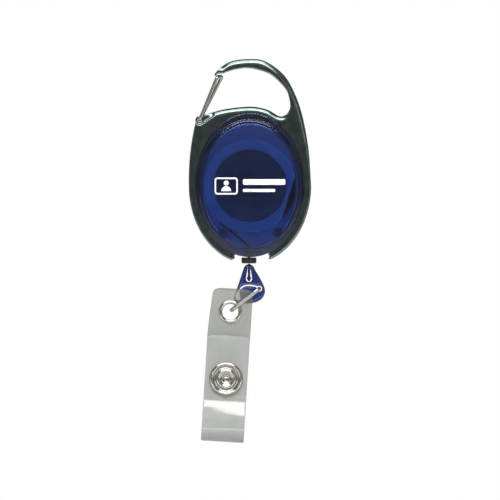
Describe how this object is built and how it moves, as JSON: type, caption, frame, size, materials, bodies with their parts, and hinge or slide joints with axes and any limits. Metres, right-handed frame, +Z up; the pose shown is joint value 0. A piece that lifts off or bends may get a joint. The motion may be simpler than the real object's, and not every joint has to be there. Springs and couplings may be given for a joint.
{
  "type": "retractable badge reel",
  "caption": "Retractable badge reel: carabiner frame with wire gate, translucent oval case, sprung cord spool, drop-shaped cord end, wire link and snap strap.",
  "frame": {"origin": "inner crest of the carabiner's hook, in the middle of its thickness, where the reel hangs", "axes": "+Z up along the hanging reel, +X to the right seen from the front, +Y from the front face to the back"},
  "size_m": [0.036, 0.0133, 0.1129],
  "materials": {
    "black_chrome": "black chrome on die-cast zinc",
    "blue_plastic": "translucent blue polystyrene",
    "nickel": "bright nickel plate",
    "spring_steel": "blued spring steel",
    "white_nylon": "white moulded nylon",
    "black_cord": "braided nylon cord",
    "black_rubber": "moulded stopper",
    "clear_vinyl": "clear soft vinyl"
  },
  "bodies": {
    "case": {"carabiner_frame": "black_chrome", "front_shell": "blue_plastic", "back_shell": "blue_plastic", "spring_arbor": "white_nylon", "cord_run": "black_cord"},
    "gate": {"gate_wire": "nickel"},
    "reel": {"spool": "white_nylon", "spool_flange": "white_nylon", "spiral_spring": "spring_steel", "wound_cord": "black_cord"},
    "cord_end": {"pull_cord": "black_cord", "cord_stopper": "black_rubber"},
    "cord_tail": {"cord_knot": "black_cord"},
    "connector": {"cord_connector": "blue_plastic"},
    "link": {"link_ring": "nickel"},
    "strap": {"strap_back": "clear_vinyl", "strap_eyelet": "nickel", "eyelet_washer": "nickel", "snap_stud": "nickel", "snap_post": "nickel"},
    "flap": {"strap_flap": "clear_vinyl", "snap_socket": "nickel", "snap_cap": "nickel"}
  },
  "joints": [
    {"name": "gate_hinge", "type": "hinge", "parent": "case", "child": "gate", "pos_m": [-0.0148, 0, -0.0152], "axis": [0, 1, 0], "range_deg": [0, 24], "stiffness_Nm_per_rad": 0.02, "springref_deg": -17.19},
    {"name": "cord_pull", "type": "slide", "parent": "case", "child": "cord_end", "axis": [0, 0, -1], "range_m": [0, 0.86], "stiffness_N_per_m": 0.35, "springref_m": -2.6, "deforming": ["pull_cord"]},
    {"name": "spool_spin", "type": "hinge", "parent": "case", "child": "reel", "pos_m": [0, 0, -0.0346], "axis": [0, 1, 0], "range_deg": [-4020, 0], "deforming": ["spiral_spring"]},
    {"name": "cord_swing", "type": "hinge", "parent": "cord_end", "child": "cord_tail", "pos_m": [-0.0003, 0, -0.0589], "axis": [0, 1, 0], "range_deg": [-22, 22]},
    {"name": "connector_swivel", "type": "hinge", "parent": "cord_tail", "child": "connector", "pos_m": [-0.0003, 0, -0.0589], "axis": [0, 0, 1], "continuous": true},
    {"name": "link_swing", "type": "hinge", "parent": "connector", "child": "link", "pos_m": [0.0027, 0, -0.0648], "axis": [0, 1, 0], "range_deg": [-90, 0]},
    {"name": "strap_swing", "type": "hinge", "parent": "link", "child": "strap", "pos_m": [-0.0054, 0, -0.0711], "axis": [0, 1, 0], "range_deg": [-20, 62]},
    {"name": "flap_open", "type": "hinge", "parent": "strap", "child": "flap", "pos_m": [-0.00804, -0.00165, -0.10758], "axis": [0.9981, 0, -0.0621], "range_deg": [0, 85]}
  ],
  "couplings": [
    {"joint": "spool_spin", "follows": "cord_pull", "rad_per_m": -81}
  ]
}
